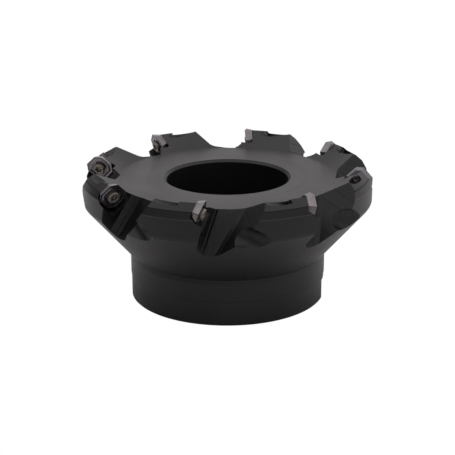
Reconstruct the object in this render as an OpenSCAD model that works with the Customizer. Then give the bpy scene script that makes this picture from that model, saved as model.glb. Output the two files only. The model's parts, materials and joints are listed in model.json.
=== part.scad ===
// Face mill: shell-type cutter body, eight octagonal inserts and eight insert screws.
// Origin: centre of the hub's mounting face. +Z runs up the cutter axis to the cutting edges.

/* [Body] */
// Radius of the hub below the step line
hub_r = 45; // [42:0.1:48]
// Radius of the slightly larger band of the hub
band_r = 45.25; // [42:0.05:49]
// Height of the step line between hub and band
step_z = 11.2; // [6:0.1:16]
// Height where the cone starts
cone_z = 21.3; // [18:0.1:26]
// Outer radius of the crown
crown_r = 66.8; // [64:0.1:70]
// Height of the lower edge of the outer land
land_z = 55.67; // [52:0.01:58]
// Height of the crest between the inner and outer slopes
crest_z = 62.2; // [60:0.05:64]
// Radius of the crest
crest_r = 61.83; // [60:0.01:64]
// Radius blending the cone into the crown
cone_blend = 3.5; // [2:0.1:5]

/* [Dish and bores] */
// Height of the dish floor
dish_z = 56.05; // [53:0.05:58]
// Radius of the dish floor
dish_r = 50.2; // [48:0.1:52]
// Radius of the counterbore for the arbor screw
counterbore_r = 28.05; // [26:0.05:30]
// Chamfer on the rim of the counterbore
counterbore_chamfer = 1.2; // [0.5:0.1:2]
// Radius of the arbor bore
bore_r = 20; // [16:0.05:22]
// Length of the arbor bore
bore_length = 32; // [26:0.5:36]
// Chamfer at the mouth of the arbor bore
bore_chamfer = 1; // [0.5:0.1:2]

/* [Drive slots] */
// Width of each drive slot
slot_width = 16.4; // [14:0.1:18]
// Depth of each drive slot from the hub face
slot_depth = 9; // [7:0.1:11]
// Direction of the slots around the axis
slot_angle = -4.2; // [-10:0.1:10]

/* [Teeth] */
// Number of teeth
teeth = 8; // [6:1:9]
// Direction of the first tooth around the axis
first_tooth = 79.44; // [0:0.01:90]
// Radius of the insert's face centre
insert_r = 60.8; // [59:0.1:62]
// Height of the insert's face centre
insert_z = 57; // [56:0.1:58]
// Radial rake of the insert's face
radial_rake = 4; // [0:0.1:8]
// Axial rake of the insert's face
axial_rake = 19.3; // [10:0.1:22]

/* [Insert] */
// Half the distance across the insert's short flats
insert_half = 6.1; // [6:0.05:6.5]
// Length of a short flat
short_flat = 3.6; // [2.5:0.1:4]
// Thickness of the insert
insert_t = 3.18; // [2.8:0.01:4]
// Clearance angle of the insert's flanks
insert_relief = 25; // [20:0.5:28]
// Radius of the hole through the insert
insert_hole_r = 2.25; // [2.15:0.01:2.4]
// Radius of the recess around the screw's head
recess_r = 3.45; // [3:0.01:3.6]
// Depth of that recess
recess_depth = 0.4; // [0.2:0.05:0.6]

/* [Insert screw] */
// Radius of the screw's head
head_r = 2.7; // [2.5:0.01:2.8]
// Height of the head's straight rim
head_rim = 1.9; // [1.4:0.01:2.2]
// How far the head stands proud of the insert's face
head_proud = 1.65; // [1.2:0.01:1.9]
// Radius of the screw's shank
shank_r = 2; // [1.8:0.01:2.1]
// Depth of the screw's tip behind the insert's face
tip_depth = 9.8; // [9:0.1:10.5]
// Running clearance between the shank and its hole
thread_gap = 0.05; // [0.02:0.01:0.1]
// Depth of the star socket
star_depth = 1.5; // [1:0.1:1.8]
// Radius of the star socket's points
star_r = 1.65; // [1.4:0.01:1.8]

/* [Pocket] */
// Gap between the insert's flats and the pocket
flat_gap = 1.1; // [0.6:0.1:1.6]
// Gap along the pocket's inner locating wall
wall_gap = 0.3; // [0.1:0.05:0.8]
// Gap along the pocket's outer wall
outer_gap = 0.6; // [0.3:0.05:1.2]
// Gap between the insert's back and its seat
seat_gap = 0.02; // [0.01:0.01:0.05]
// Radius of the relief in the pocket's inner corner
relief_hole_r = 0.9; // [0.6:0.1:1.3]
// Radius of the groove behind each screw hole
groove_r = 2.6; // [2.3:0.05:3]
// Depth where that groove starts
groove_start = 10.2; // [9.5:0.1:12]

/* [Gullet] */
// Tilt of the gullet floor from the vertical
floor_tilt = 28.3; // [24:0.1:32]
// Sideways lean of the gullet
floor_lean = 13.57; // [10:0.1:18]
// Radius where the gullet floor meets the dish
floor_r = 49.47; // [48.5:0.01:50.5]
// Radius of the scallop behind each tooth
scallop_r = 5.2; // [4:0.1:7]
// Direction that each gullet's bank faces, round the axis
bank_around = -54; // [-60:0.1:-48]
// Direction that each gullet's bank faces, up from level
bank_up = 37.1; // [32:0.1:42]

/* [Hidden] */
$fn = 96;
pitch = 360 / teeth;
over = 1;
hub_chamfer = 0.5;
band_top = 19.4;
neck_r = 44.95;
cone_end_r = 66.6;
cone_end_z = 46.2;
land_mid_r = 65.28;
land_mid_z = 59.13;
cone_angle = atan2(cone_end_z - cone_z, cone_end_r - neck_r);
blend_r = crown_r - cone_blend;
blend_z = cone_z + ((blend_r - neck_r) * sin(cone_angle) + cone_blend) / cos(cone_angle);
far = 60;
half_edge = short_flat / 2;
main_sum = insert_half + half_edge;
tip_r = 1.45;
tip_chamfer = 0.7;
head_slope = tan(30);
head_gap = 0.03;
head_cone = (head_r - shank_r) / head_slope;
head_base = head_rim - head_proud;
lobes = 6;
lobe_r = 0.4;
ledge = 6.2;
relief_extra = 0.5;
cut_up = 25;
cut_down = 40;
wall_x = 2.81;
wall_y = 3.7;
step_x = 4.1;
step_y = 1.5;
step_width = 0.55;
step_drop = 0.3;
floor_start = 5.35;
floor_valley = 8;
valley_depth = 0.25;
floor_end = 40;
wall_lean = 0.127;
bank_point = [58.95, 16.54, 48.63];
bevel_point = [52.95, 13.2, 50.18];
bevel_around = -25.6;
bevel_up = 35.8;
scallop_angle = 12.5;
scallop_axis_r = 64.4;
scallop_z = 50.2;
scallop_dip = 21.3;
scallop_yaw = -16;
scallop_start = 6;
scallop_length = 30;

// The body's turned outline, with its bores and without teeth.
module outline() {
    rim_r = counterbore_r + counterbore_chamfer;
    union() {
        polygon([[bore_r + bore_chamfer, 0], [hub_r - hub_chamfer, 0], [hub_r, hub_chamfer],
                 [hub_r, step_z], [band_r, step_z + (band_r - hub_r)], [band_r, band_top],
                 [neck_r, cone_z - (band_r - neck_r)], [neck_r, cone_z],
                 [blend_r + cone_blend * sin(cone_angle), blend_z - cone_blend * cos(cone_angle)],
                 [crown_r, blend_z], [crown_r, land_z], [land_mid_r, land_mid_z],
                 [crest_r, crest_z], [dish_r, dish_z],
                 [rim_r, dish_z], [counterbore_r, dish_z - counterbore_chamfer],
                 [counterbore_r, bore_length], [bore_r, bore_length],
                 [bore_r, bore_chamfer]]);
        translate([blend_r, blend_z]) circle(r = cone_blend);
    }
}

// Places things in a tooth's frame: X outward, Y the way the tooth cuts, Z up.
module at_tooth(k) {
    rotate([0, 0, first_tooth + pitch * k]) children();
}

// Places things in an insert's frame: X outward, Y up the face, Z back into the tooth.
module at_insert(k) {
    at_tooth(k)
        translate([insert_r, 0, insert_z])
        rotate([90 - axial_rake, 0, -radial_rake])
        children();
}

// Places things in the gullet's frame: X across, Y up from the floor, Z down the gullet.
module at_gullet() {
    translate([floor_r, 0, dish_z])
        rotate([0, -floor_tilt, 0])
        rotate([-floor_lean, 0, 0])
        rotate([180, 0, 90])
        children();
}

// A slab along Y whose sides slope inward from the face to the back.
module slab(half_width) {
    back = half_width - insert_t * tan(insert_relief);
    rotate([90, 0, 0])
        translate([0, 0, -far / 2])
        linear_extrude(height = far)
        polygon([[-half_width, 0], [half_width, 0], [back, insert_t], [-back, insert_t]]);
}

// The tapered octagon: short flats up and across, long edges at 45 degrees.
module octagon_block() {
    intersection() {
        slab(insert_half);
        rotate([0, 0, 90]) slab(insert_half);
        rotate([0, 0, 45]) slab(main_sum / sqrt(2));
        rotate([0, 0, -45]) slab(main_sum / sqrt(2));
    }
}

// The gullet's cross-section: stepped wall and floor, open on the bank's side.
module gullet_section() {
    polygon([[wall_x, wall_y], [step_x, step_y], [step_x + step_width, step_y - step_drop],
             [floor_start, 0], [floor_valley, -valley_depth], [floor_end, 0],
             [floor_end, far], [wall_x + wall_lean * (far - wall_y), far]]);
}

// Everything on the open side of a plane through a point.
module open_side(point, around, upward) {
    translate(point)
        rotate([0, -upward, around])
        translate([0, -far, -far])
        cube(2 * far);
}

// One gullet with the bank behind it, and the scallop in the crown below the bank.
module gullet(k) {
    at_tooth(k) {
        intersection() {
            at_gullet()
                translate([0, 0, -cut_up])
                linear_extrude(height = cut_up + cut_down)
                gullet_section();
            open_side(bank_point, bank_around, bank_up);
            open_side(bevel_point, bevel_around, bevel_up);
        }
        rotate([0, 0, scallop_angle])
            translate([scallop_axis_r, 0, scallop_z])
            rotate([-90 - scallop_dip, 0, scallop_yaw])
            translate([0, 0, -scallop_start])
            cylinder(r = scallop_r, h = scallop_length);
    }
}

// Space on the open side of a pocket wall that leans in with the insert's flank.
module wall_side(distance) {
    seat = insert_t + seat_gap;
    rotate([90, 0, 0])
        translate([0, 0, -far / 2])
        linear_extrude(height = far)
        polygon([[-distance, -far], [-distance, 0],
                 [seat * tan(insert_relief) - distance, seat],
                 [far, seat], [far, -far]]);
}

// The seat and walls around an insert, open upward, outward and to the front.
module pocket(k) {
    low = insert_half + flat_gap;
    inner_sum = main_sum + wall_gap * sqrt(2);
    outer_sum = main_sum + outer_gap * sqrt(2);
    seat = insert_t + seat_gap;
    at_insert(k) {
        intersection() {
            translate([0, 0, -ledge])
                linear_extrude(height = ledge + seat)
                polygon([[-low, 2 * low], [-low, low - inner_sum], [low - inner_sum, -low],
                         [outer_sum - low, -low], [2 * low, 2 * low - outer_sum],
                         [2 * low, 2 * low]]);
            rotate([0, 0, 45]) wall_side(main_sum / sqrt(2) + wall_gap);
            rotate([0, 0, 135]) wall_side(main_sum / sqrt(2) + outer_gap);
        }
        translate([low - inner_sum, -low, -over])
            cylinder(r = relief_hole_r, h = over + seat + relief_extra);
        cylinder(r = shank_r + thread_gap, h = groove_start + over);
        translate([0, 0, groove_start])
            cylinder(r = groove_r, h = cut_up);
    }
}

module drive_slots() {
    rotate([0, 0, slot_angle])
        translate([-far, -slot_width / 2, -over])
        cube([2 * far, slot_width, slot_depth + over]);
}

module cutter_body() {
    color([0.16, 0.16, 0.17])
        difference() {
            rotate_extrude() outline();
            for (k = [0 : teeth - 1]) {
                gullet(k);
                pocket(k);
            }
            drive_slots();
        }
}

module insert(k) {
    color([0.5, 0.48, 0.52])
        at_insert(k)
        difference() {
            octagon_block();
            translate([0, 0, -over])
                cylinder(r = insert_hole_r, h = insert_t + 2 * over);
            translate([0, 0, -over])
                cylinder(r = recess_r, h = over + recess_depth);
            translate([0, 0, head_base])
                cylinder(r1 = head_r + head_gap, r2 = shank_r + head_gap, h = head_cone);
        }
}

module star_section() {
    union() {
        circle(r = star_r - lobe_r);
        for (i = [0 : lobes - 1])
            rotate([0, 0, i * 360 / lobes])
                translate([star_r - lobe_r, 0])
                circle(r = lobe_r);
    }
}

module insert_screw(k) {
    color([0.45, 0.43, 0.4])
        at_insert(k)
        difference() {
            union() {
                translate([0, 0, -head_proud])
                    cylinder(r = head_r, h = head_rim);
                translate([0, 0, head_base])
                    cylinder(r1 = head_r, r2 = shank_r, h = head_cone);
                cylinder(r = shank_r, h = tip_depth - tip_chamfer);
                translate([0, 0, tip_depth - tip_chamfer])
                    cylinder(r1 = shank_r, r2 = tip_r, h = tip_chamfer);
            }
            translate([0, 0, -head_proud - over])
                linear_extrude(height = star_depth + over)
                star_section();
        }
}

cutter_body();
insert(0);  // insert_1
insert(1);  // insert_2
insert(2);  // insert_3
insert(3);  // insert_4
insert(4);  // insert_5
insert(5);  // insert_6
insert(6);  // insert_7
insert(7);  // insert_8
insert_screw(0);  // insert_screw_1
insert_screw(1);  // insert_screw_2
insert_screw(2);  // insert_screw_3
insert_screw(3);  // insert_screw_4
insert_screw(4);  // insert_screw_5
insert_screw(5);  // insert_screw_6
insert_screw(6);  // insert_screw_7
insert_screw(7);  // insert_screw_8
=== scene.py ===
import json
import math

import bmesh
import bpy
from mathutils import Matrix, Vector

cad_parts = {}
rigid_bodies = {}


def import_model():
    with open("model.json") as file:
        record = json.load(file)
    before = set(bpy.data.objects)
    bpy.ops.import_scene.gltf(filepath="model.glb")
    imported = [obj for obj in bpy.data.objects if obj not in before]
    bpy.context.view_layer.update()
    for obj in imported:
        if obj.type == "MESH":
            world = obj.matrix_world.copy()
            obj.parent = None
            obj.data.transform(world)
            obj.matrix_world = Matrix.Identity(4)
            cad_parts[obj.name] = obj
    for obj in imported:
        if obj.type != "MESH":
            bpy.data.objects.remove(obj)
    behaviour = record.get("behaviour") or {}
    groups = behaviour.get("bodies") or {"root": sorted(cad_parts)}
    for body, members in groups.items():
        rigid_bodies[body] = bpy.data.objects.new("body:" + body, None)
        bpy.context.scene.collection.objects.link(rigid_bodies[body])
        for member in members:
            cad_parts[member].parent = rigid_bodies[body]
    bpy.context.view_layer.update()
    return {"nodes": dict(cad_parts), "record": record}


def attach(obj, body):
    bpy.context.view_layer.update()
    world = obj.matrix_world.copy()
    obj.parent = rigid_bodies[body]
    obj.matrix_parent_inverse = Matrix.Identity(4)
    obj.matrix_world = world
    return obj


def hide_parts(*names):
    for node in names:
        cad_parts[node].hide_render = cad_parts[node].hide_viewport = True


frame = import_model()

MM = 0.001

# Camera: about 0.66 m from the cutter's axis, looking down a little, with a long lens.
ELEVATION = math.radians(18.48)
ROLL = math.radians(-0.2044)
DISTANCE = 0.65555
TARGET = Vector((0.0, 0.0, 0.031092))
SENSOR_MM = 36.0
LENS_MM = 111.125

# Teeth: their number and the first one's bearing, from the screws' joints.
HINGES = [j for j in frame["record"]["behaviour"]["joints"] if j["type"] == "hinge"]
TEETH = len(HINGES)
SECTOR = math.tau / TEETH
FIRST_TOOTH = math.atan2(HINGES[0]["pos_m"][1], HINGES[0]["pos_m"][0])

# The crown's turned outline, in metres, as the body material reads it. A slope is a
# change of radius for a change of height, and for the dish the other way round.
NECK_R = 0.04495
CONE_Z = 0.0213
CONE_SLOPE = 0.8695
CROWN_R = 0.0668
LAND_Z = 0.05567
LAND_SLOPE = -0.4393
LAND_TOP_R = 0.06528
LAND_TOP_Z = 0.05913
CREST_SLOPE = -1.1238
CREST_R = 0.061
DISH_R = 0.0502
DISH_Z = 0.05605
DISH_SLOPE = 0.5288

# Colours, linear.
OXIDE_DARK = (0.0036, 0.0033, 0.0036, 1)
OXIDE_LIGHT = (0.0068, 0.0062, 0.0068, 1)
# Milled faces: darker partly for their own finish, partly as painted shade in the gullets.
OXIDE_MILLED_PAINTED_SHADE = (0.0022, 0.002, 0.0024, 1)
OXIDE_WORN = (0.03, 0.028, 0.029, 1)
# Painted shade and painted highlight for two edges round the teeth.
PAINTED_SHADE_LINE = (0.0004, 0.0004, 0.0005, 1)
PAINTED_HIGHLIGHT_LINE = (0.035, 0.033, 0.034, 1)
CARBIDE_DARK = (0.135, 0.127, 0.14, 1)
CARBIDE_LIGHT = (0.18, 0.168, 0.172, 1)
CARBIDE_WORN = (0.36, 0.34, 0.33, 1)
STEEL_DARK = (0.15, 0.133, 0.112, 1)
STEEL_LIGHT = (0.22, 0.198, 0.168, 1)
STEEL_WORN = (0.5, 0.46, 0.4, 1)
# Painted shade for the screws' shanks and tips.
STEEL_PAINTED_SHADE = (0.035, 0.032, 0.03, 1)
DAYLIGHT = (1.0, 0.965, 0.98, 1)
PAPER = (0.74, 0.74, 0.74, 1)

FLOOR_SIZE = 3.0
FLOOR_DROP = 0.0002

# Insert, in millimetres: a tapered octagon with short flats and long 45 degree edges.
INSERT_HALF = 6.1
HALF_FLAT = 1.8
INSERT_T = 3.18
RELIEF = math.tan(math.radians(25.0))
CORNER_R = 0.5
CORNER_R_MIN = 0.15
CORNER_STEPS = 4
SIDE_STEPS = 4
HOLE_R = 2.25
RECESS_R = 3.45
RECESS_DEPTH = 0.4

# Insert screw, in millimetres.
HEAD_R = 2.7
HEAD_PROUD = 1.65
HEAD_BASE = 0.25
SHANK_R = 2.0
TIP_DEPTH = 9.8
THREAD_PITCH = 0.7
THREAD_DEPTH = 0.28
THREAD_START = 3.9
THREAD_STEPS = 8
THREAD_CLEAR = 0.01
GROOVE_SHARE = 0.4
STAR_R = 1.65
LOBES = 6
LOBE_R = 0.4
STAR_DEPTH = 1.5
ROUND = 96

# Angles, in degrees, over which the two kinds of piece stay smooth.
INSERT_SMOOTH = 28
SCREW_SMOOTH = 32


def new_object(name, bm, mat):
    """Turns a bmesh into an object in the scene, with one material."""
    mesh = bpy.data.meshes.new(name)
    bmesh.ops.recalc_face_normals(bm, faces=bm.faces)
    bm.to_mesh(mesh)
    bm.free()
    obj = bpy.data.objects.new(name, mesh)
    bpy.context.scene.collection.objects.link(obj)
    obj.data.materials.append(mat)
    return obj


def make_camera():
    """A long lens that looks at the cutter's axis from just above the crown."""
    forward = Vector((0.0, math.cos(ELEVATION), -math.sin(ELEVATION)))
    up = Vector((0.0, math.sin(ELEVATION), math.cos(ELEVATION)))
    right = Vector((1.0, 0.0, 0.0))
    x_axis = math.cos(ROLL) * right + math.sin(ROLL) * up
    y_axis = -math.sin(ROLL) * right + math.cos(ROLL) * up
    data = bpy.data.cameras.new("camera")
    data.sensor_width = SENSOR_MM
    data.lens = LENS_MM
    data.clip_start, data.clip_end = 0.01, 20.0
    camera = bpy.data.objects.new("camera", data)
    bpy.context.scene.collection.objects.link(camera)
    turn = Matrix((x_axis, y_axis, -forward)).transposed().to_4x4()
    camera.matrix_world = Matrix.Translation(TARGET - DISTANCE * forward) @ turn
    bpy.context.scene.camera = camera


class Nodes:
    """A small helper that adds and links nodes in one material's or world's tree."""

    def __init__(self, tree, coord):
        self.tree = tree
        self.coord = self.add("ShaderNodeTexCoord").outputs[coord]

    def add(self, kind, **props):
        node = self.tree.nodes.new(kind)
        for key, value in props.items():
            setattr(node, key, value)
        return node

    def put(self, socket, value):
        if isinstance(value, bpy.types.NodeSocket):
            self.tree.links.new(value, socket)
        else:
            socket.default_value = value

    def math(self, op, *values):
        node = self.add("ShaderNodeMath", operation=op)
        for socket, value in zip(node.inputs, values):
            self.put(socket, value)
        return node.outputs[0]

    def noise(self, scale, detail=3.0, coord=None):
        node = self.add("ShaderNodeTexNoise")
        self.put(node.inputs["Vector"], coord or self.coord)
        node.inputs["Scale"].default_value = scale
        node.inputs["Detail"].default_value = detail
        return node.outputs["Fac"]

    def split(self, vector):
        node = self.add("ShaderNodeSeparateXYZ")
        self.put(node.inputs[0], vector)
        return node.outputs

    def join(self, x, y=0.0):
        node = self.add("ShaderNodeCombineXYZ")
        self.put(node.inputs[0], x)
        self.put(node.inputs[1], y)
        return node.outputs[0]

    def remap(self, value, low, high, out_low, out_high, kind="LINEAR"):
        node = self.add("ShaderNodeMapRange", interpolation_type=kind)
        self.put(node.inputs["Value"], value)
        sockets = ("From Min", "From Max", "To Min", "To Max")
        for key, number in zip(sockets, (low, high, out_low, out_high)):
            node.inputs[key].default_value = number
        return node.outputs["Result"]

    def blend(self, fac, a, b):
        node = self.add("ShaderNodeMix", data_type="RGBA")
        self.put(node.inputs["Factor"], fac)
        self.put(node.inputs[6], a)
        self.put(node.inputs[7], b)
        return node.outputs[2]

    def bump(self, height, strength, distance, normal):
        node = self.add("ShaderNodeBump")
        self.put(node.inputs["Height"], height)
        node.inputs["Strength"].default_value = strength
        node.inputs["Distance"].default_value = distance
        self.put(node.inputs["Normal"], normal)
        return node.outputs["Normal"]

    def edge(self, radius):
        """Rounded normal and a mask that is high on sharp edges."""
        bevel = self.add("ShaderNodeBevel", samples=6)
        bevel.inputs["Radius"].default_value = radius
        plain = self.add("ShaderNodeNewGeometry").outputs["Normal"]
        dot = self.add("ShaderNodeVectorMath", operation="DOT_PRODUCT")
        self.put(dot.inputs[0], bevel.outputs["Normal"])
        self.put(dot.inputs[1], plain)
        return bevel.outputs["Normal"], self.remap(dot.outputs["Value"], 0.99, 0.8, 0.0, 1.0)


class Paint(Nodes):
    """A new material, with its shader's inputs to hand."""

    def __init__(self, name):
        self.mat = bpy.data.materials.new(name)
        self.mat.use_nodes = True
        super().__init__(self.mat.node_tree, "Object")
        self.shader = self.tree.nodes["Principled BSDF"]

    def set(self, key, value):
        self.put(self.shader.inputs[key], value)


def below_profile(n, radius, z):
    """How far a point lies inside the crown's turned outline, in metres, as a node value."""
    def inside(slope, line_r, line_z):
        line = n.math("MULTIPLY_ADD", z, slope, line_r - slope * line_z)
        return n.math("SUBTRACT", line, radius)

    cone = inside(CONE_SLOPE, NECK_R, CONE_Z)
    crown = n.math("SUBTRACT", CROWN_R, radius)
    land = inside(LAND_SLOPE, CROWN_R, LAND_Z)
    crest = inside(CREST_SLOPE, LAND_TOP_R, LAND_TOP_Z)
    dish_line = n.math("MULTIPLY_ADD", radius, DISH_SLOPE, DISH_Z - DISH_SLOPE * DISH_R)
    depth = n.math("SUBTRACT", dish_line, z)
    for other in (cone, crown, land, crest):
        depth = n.math("MINIMUM", depth, other)
    return depth


def milled_mask(n, radius, z):
    """One on the milled faces of the crown and its teeth, zero on the turned ones."""
    deep = n.remap(below_profile(n, radius, z), 0.0003, 0.0006, 0.0, 1.0)
    beyond_dish = n.remap(radius, DISH_R + 0.0004, DISH_R + 0.0008, 0.0, 1.0)
    return n.math("MULTIPLY", deep, beyond_dish)


def ring_at(n, z, height):
    """A thin ring at one height, as a node value that fades out over its own width."""
    away = n.math("ABSOLUTE", n.math("SUBTRACT", z, height))
    return n.remap(away, 0.00008, 0.00026, 1.0, 0.0)


def body_material():
    """Black-oxidised steel: finely turned outside, milled gullets darkened partly with painted shade,
    soft stains, worn edges, and a painted shade ring and a painted highlight ring round the teeth.
    """
    n = Paint("black_oxide")
    x, y, z = n.split(n.coord)
    radius = n.math("SQRT", n.math("ADD", n.math("MULTIPLY", x, x), n.math("MULTIPLY", y, y)))
    cut = milled_mask(n, radius, z)
    uncut = n.math("SUBTRACT", 1.0, cut)

    # Turning lines: noise that only changes along the radius and the height.
    turned_at = n.join(radius, z)
    turned = n.noise(1500.0, 3.0, turned_at)
    broad = n.noise(260.0, 2.0, turned_at)

    # Milling lines: streaks down each gullet, leaning with it and alike from tooth to tooth.
    across = n.math("MULTIPLY", n.math("FLOORED_MODULO", n.math("ARCTAN2", y, x), SECTOR), radius)
    milled = n.noise(700.0, 3.0, n.join(n.math("MULTIPLY_ADD", z, 0.35, across)))

    deep_streaks = n.math("MULTIPLY", n.math("MULTIPLY", milled, 7.0), cut)
    lines = n.math("ADD", n.math("MULTIPLY", turned, uncut), deep_streaks)
    grain = n.math("MULTIPLY_ADD", n.noise(3200.0, 2.0), 0.35, lines)
    rounded, worn = n.edge(0.0002)
    n.set("Normal", n.bump(grain, 0.3, 0.00004, rounded))

    stain = n.noise(38.0, 5.0)
    black = n.blend(n.remap(stain, 0.35, 0.7, 0.0, 1.0), OXIDE_DARK, OXIDE_LIGHT)
    # Milled faces darkened: partly their own finish, partly painted shade standing in for the gullets'
    # shade.
    black = n.blend(cut, black, OXIDE_MILLED_PAINTED_SHADE)

    # Two rings painted round the teeth: painted shade along the edge below the crest, and a painted
    # highlight along the edge at the crown.
    outside = n.math("MULTIPLY", uncut, n.remap(radius, CREST_R, CREST_R + 0.0003, 0.0, 1.0))
    painted_shade_ring = n.math("MULTIPLY", outside, ring_at(n, z, LAND_TOP_Z - 0.0003))
    painted_highlight_ring = n.math("MULTIPLY", outside, ring_at(n, z, LAND_Z))
    black = n.blend(painted_shade_ring, black, PAINTED_SHADE_LINE)
    black = n.blend(n.math("MULTIPLY", painted_highlight_ring, 0.8), black, PAINTED_HIGHLIGHT_LINE)
    scuffed = n.math("MULTIPLY", worn, n.remap(n.noise(420.0), 0.4, 0.7, 0.1, 0.8))
    n.set("Base Color", n.blend(scuffed, black, OXIDE_WORN))

    fine = n.remap(n.math("ADD", turned, broad), 0.7, 1.3, -0.022, 0.022)
    rough = n.math("ADD", n.remap(stain, 0.3, 0.7, 0.42, 0.37), fine)
    rough = n.math("MULTIPLY_ADD", painted_shade_ring, 0.45, rough)
    rough = n.math("MULTIPLY_ADD", cut, n.remap(milled, 0.35, 0.65, -0.04, 0.18), rough)
    n.set("Roughness", rough)
    n.set("Specular IOR Level", 0.33)
    return n.mat


def carbide_material():
    """Coated carbide: violet-grey, satin, with lighter ground edges."""
    n = Paint("coated_carbide")
    rounded, worn = n.edge(0.00012)
    mottled = n.noise(900.0, 4.0)
    coat = n.blend(n.remap(n.noise(160.0), 0.35, 0.65, 0.0, 1.0), CARBIDE_DARK, CARBIDE_LIGHT)
    n.set("Base Color", n.blend(n.math("MULTIPLY", worn, 0.5), coat, CARBIDE_WORN))
    n.set("Roughness", n.remap(mottled, 0.3, 0.7, 0.2, 0.3))
    n.set("Metallic", 0.93)
    n.set("Normal", n.bump(mottled, 0.12, 0.00002, rounded))
    return n.mat


def screw_material():
    """Bare alloy steel with a warm tint at the head, and painted shade along the threads and tip."""
    n = Paint("screw_steel")
    x, y, _ = n.split(n.coord)
    # Each tooth's sector starts half a sector before its insert, so the head is at its middle.
    start = FIRST_TOOTH - 0.5 * SECTOR
    around = n.math("FLOORED_MODULO", n.math("SUBTRACT", n.math("ARCTAN2", y, x), start), SECTOR)
    at_head = n.remap(around, math.radians(17.5), math.radians(19.5), 0.0, 1.0)
    rounded, worn = n.edge(0.0001)
    streak = n.noise(700.0, 4.0)
    steel = n.blend(n.remap(streak, 0.35, 0.7, 0.0, 1.0), STEEL_DARK, STEEL_LIGHT)
    # Painted shade on the shank and tip, away from the head, where they sit in the tooth's hole.
    steel = n.blend(at_head, STEEL_PAINTED_SHADE, steel)
    n.set("Base Color", n.blend(n.math("MULTIPLY", worn, 0.4), steel, STEEL_WORN))
    n.set("Roughness", n.remap(streak, 0.3, 0.7, 0.3, 0.45))
    n.set("Metallic", 0.7)
    n.set("Normal", n.bump(streak, 0.1, 0.00002, rounded))
    return n.mat


def octagon_ring(inset, z):
    """Points of the octagon pulled in by inset, its corners rounded, at depth z."""
    half = INSERT_HALF - inset
    diagonal = (INSERT_HALF + HALF_FLAT) / math.sqrt(2) - inset
    radius = max(CORNER_R - inset * 0.2, CORNER_R_MIN)
    turn = math.tau / 8
    points = []
    for side in range(8):
        near, far = (half, diagonal) if side % 2 == 0 else (diagonal, half)
        bearing = side * turn
        # The corner between this side and the next, from the two sides' distances.
        n0 = Vector((math.cos(bearing), math.sin(bearing)))
        n1 = Vector((math.cos(bearing + turn), math.sin(bearing + turn)))
        det = n0.cross(n1)
        corner = Vector(((near * n1.y - far * n0.y) / det, (far * n0.x - near * n1.x) / det))
        centre = corner - (n0 + n1).normalized() * (radius / math.cos(turn / 2))
        for step in range(CORNER_STEPS + 1):
            angle = bearing + turn * step / CORNER_STEPS
            points.append(centre + radius * Vector((math.cos(angle), math.sin(angle))))
    ring = []
    for i, point in enumerate(points):
        ring.append((point.x, point.y, z))
        if i % (CORNER_STEPS + 1) == CORNER_STEPS:
            following = points[(i + 1) % len(points)]
            for step in range(1, SIDE_STEPS):
                middle = point.lerp(following, step / SIDE_STEPS)
                ring.append((middle.x, middle.y, z))
    return ring


def matching_circle(radius, z):
    """A circle whose points lie at the same angles as the octagon's."""
    ring = []
    for x, y, _ in octagon_ring(0.0, 0.0):
        length = math.hypot(x, y)
        ring.append((x / length * radius, y / length * radius, z))
    return ring


def circle(radius, z, shape=None):
    """A ring of points, round or with its radius scaled by shape(angle)."""
    ring = []
    for i in range(ROUND):
        angle = math.tau * i / ROUND
        r = radius * shape(angle) if shape else radius
        ring.append((r * math.cos(angle), r * math.sin(angle), z))
    return ring


def star(angle):
    """Six-lobed outline, as a share of the radius through its points."""
    sector = math.tau / LOBES
    off = (angle + sector / 2) % sector - sector / 2
    core = STAR_R - LOBE_R
    inside = LOBE_R ** 2 - (core * math.sin(off)) ** 2
    lobe = core * math.cos(off) + math.sqrt(inside) if inside > 0 else 0.0
    return max(lobe, core) / STAR_R


def skin(rings, loop=False):
    """Joins rings of points, in millimetres, into a closed surface, looped or capped."""
    bm = bmesh.new()
    rows = [[bm.verts.new((x * MM, y * MM, z * MM)) for x, y, z in ring] for ring in rings]
    pairs = list(zip(rows, rows[1:]))
    if loop:
        pairs.append((rows[-1], rows[0]))
    for low, high in pairs:
        for i in range(len(low)):
            j = (i + 1) % len(low)
            bm.faces.new((low[i], low[j], high[j], high[i]))
    for row in () if loop else (rows[0], rows[-1]):
        middle = bm.verts.new(sum((v.co for v in row), Vector()) / len(row))
        for i in range(len(row)):
            bm.faces.new((row[i], row[(i + 1) % len(row)], middle))
    return bm


def insert_skin():
    """One insert, from its back up the flank, over the face and down its hole."""
    back = INSERT_T * RELIEF
    flank = [octagon_ring(back + 0.12, INSERT_T),
             octagon_ring(back - 0.02, INSERT_T - 0.12),
             octagon_ring(1.2 * RELIEF, 1.2)]
    honed_edge = [octagon_ring(0.08, 0.1),
                  octagon_ring(0.03, 0.02),
                  octagon_ring(0.08, 0.0)]
    chip_groove = [octagon_ring(0.26, 0.02),
                   octagon_ring(0.5, 0.13),
                   octagon_ring(0.85, 0.2),
                   octagon_ring(1.25, 0.13),
                   octagon_ring(1.5, 0.03),
                   octagon_ring(1.65, 0.0)]
    recess = [matching_circle(RECESS_R + 0.16, 0.0),
              matching_circle(RECESS_R + 0.04, 0.03),
              matching_circle(RECESS_R, 0.12),
              matching_circle(RECESS_R - 0.04, RECESS_DEPTH - 0.06),
              matching_circle(RECESS_R - 0.12, RECESS_DEPTH)]
    hole = [matching_circle(HEAD_R - 0.03, RECESS_DEPTH),
            matching_circle(HOLE_R + 0.04, 1.12),
            matching_circle(HOLE_R, 1.22),
            matching_circle(HOLE_R, INSERT_T - 0.15),
            matching_circle(HOLE_R + 0.15, INSERT_T)]
    return skin(flank + honed_edge + chip_groove + recess + hole, loop=True)


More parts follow.
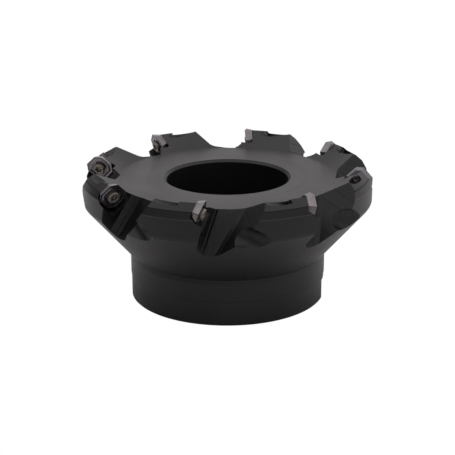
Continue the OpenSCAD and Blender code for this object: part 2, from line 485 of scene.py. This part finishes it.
def thread_rings():
    """The helical thread, its groove fading in and out over the first and last turn."""
    rings = []
    turns = int((TIP_DEPTH - 0.5 - THREAD_START) / THREAD_PITCH)
    for s in range(turns * THREAD_STEPS + 1):
        turned = s / THREAD_STEPS
        fade = min(1.0, turned, turns - turned)

        def depth(angle):
            phase = (turned - angle / math.tau) % 1.0
            share = max(0.0, 1.0 - abs(phase - 0.5) / GROOVE_SHARE)
            return 1.0 - share * fade * THREAD_DEPTH / (SHANK_R - THREAD_CLEAR)

        rings.append(circle(SHANK_R - THREAD_CLEAR, THREAD_START + turned * THREAD_PITCH, depth))
    return rings


def screw_skin():
    """One insert screw, from the middle of its socket out over the head and down to its tip."""
    top = -HEAD_PROUD
    floor = top + STAR_DEPTH
    socket = [circle(0.5, floor + 0.12),
              circle(STAR_R * 0.9, floor, star),
              circle(STAR_R * 0.97, floor - 0.08, star),
              circle(STAR_R, floor - 0.2, star),
              circle(STAR_R, top + 0.2, star),
              circle(STAR_R * 1.05, top + 0.08, star),
              circle(STAR_R * 1.13, top + 0.02, star),
              circle(STAR_R * 1.25, top)]
    head = [circle(HEAD_R - 0.5, top + 0.01),
            circle(HEAD_R - 0.28, top + 0.07),
            circle(HEAD_R - 0.12, top + 0.17),
            circle(HEAD_R - 0.03, top + 0.32),
            circle(HEAD_R, top + 0.5),
            circle(HEAD_R, HEAD_BASE - 0.05)]
    seat_and_neck = [circle(HEAD_R - 0.04, HEAD_BASE + 0.03),
                     circle(SHANK_R + 0.03, HEAD_BASE + 1.15),
                     circle(SHANK_R - 0.02, HEAD_BASE + 1.3),
                     circle(SHANK_R - 0.25, HEAD_BASE + 1.6),
                     circle(SHANK_R - 0.25, THREAD_START - 0.3)]
    tip = [circle(SHANK_R - 0.1, TIP_DEPTH - 0.45),
           circle(SHANK_R - 0.5, TIP_DEPTH - 0.02),
           circle(SHANK_R - 0.65, TIP_DEPTH),
           circle(0.6, TIP_DEPTH - 0.03),
           circle(0.3, TIP_DEPTH - 0.18)]
    return skin(socket + head + seat_and_neck + thread_rings() + tip)


def station(joint):
    """Where a tooth's insert sits: Z back into the tooth, X level and outward."""
    back = -Vector(joint["axis"]).normalized()
    level = Vector((0.0, 0.0, 1.0)).cross(back).normalized()
    up = back.cross(level)
    turn = Matrix((level, up, back)).transposed().to_4x4()
    return Matrix.Translation(Vector(joint["pos_m"])) @ turn


def smooth(obj, degrees):
    """Smooth shading, with a sharp edge wherever the surface turns by more than this."""
    for polygon in obj.data.polygons:
        polygon.use_smooth = True
    obj.data.set_sharp_from_angle(angle=math.radians(degrees))


def make_tips(carbide, steel):
    """Detailed inserts and screws in place of the plain ones, one pair a tooth."""
    for joint in HINGES:
        number = joint["child"].split("_")[1]
        place = station(joint)
        tip = new_object("detailed_insert_" + number, insert_skin(), carbide)
        tip.data.transform(place)
        smooth(tip, INSERT_SMOOTH)
        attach(tip, joint["parent"])
        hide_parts("insert_" + number)
        screw = new_object("detailed_screw_" + number, screw_skin(), steel)
        screw.data.transform(place)
        smooth(screw, SCREW_SMOOTH)
        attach(screw, joint["child"])
        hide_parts("insert_screw_" + number)


def make_world():
    """Soft studio surround: bright behind and overhead, darker in front and at the left."""
    world = bpy.data.worlds.new("studio")
    world.use_nodes = True
    n = Nodes(world.node_tree, "Generated")
    x, y, z = n.split(n.coord)
    behind = n.remap(y, -0.9, 0.35, 0.36, 0.9, "SMOOTHSTEP")
    flag = n.remap(x, -0.72, -0.15, 0.05, 1.0, "SMOOTHSTEP")
    overhead = n.remap(z, 0.25, 0.8, 0.0, 1.35, "SMOOTHSTEP")
    background = n.tree.nodes["Background"]
    background.inputs["Color"].default_value = DAYLIGHT
    n.put(background.inputs["Strength"], n.math("MAXIMUM", n.math("MULTIPLY", behind, flag), overhead))
    bpy.context.scene.world = world
    bpy.context.scene.view_settings.view_transform = "Standard"


def make_floor():
    """A white paper floor that looks evenly lit from the camera."""
    n = Paint("floor_paper")
    n.set("Base Color", PAPER)
    n.set("Roughness", 0.9)
    n.set("Specular IOR Level", 0.1)
    seen = n.add("ShaderNodeLightPath").outputs["Is Camera Ray"]
    mix = n.add("ShaderNodeMixShader")
    n.put(mix.inputs[0], seen)
    n.put(mix.inputs[1], n.shader.outputs[0])
    n.put(mix.inputs[2], n.add("ShaderNodeEmission").outputs[0])
    n.put(n.tree.nodes["Material Output"].inputs["Surface"], mix.outputs[0])
    bm = bmesh.new()
    bmesh.ops.create_grid(bm, x_segments=1, y_segments=1, size=FLOOR_SIZE)
    floor = new_object("floor", bm, n.mat)
    floor.location.z = -FLOOR_DROP


make_camera()
make_world()
BODY = body_material()
CARBIDE = carbide_material()
STEEL = screw_material()
for name, obj in frame["nodes"].items():
    kind = STEEL if name.startswith("insert_screw") else CARBIDE if name.startswith("insert") else BODY
    obj.data.materials.clear()
    obj.data.materials.append(kind)
make_tips(CARBIDE, STEEL)
make_floor()
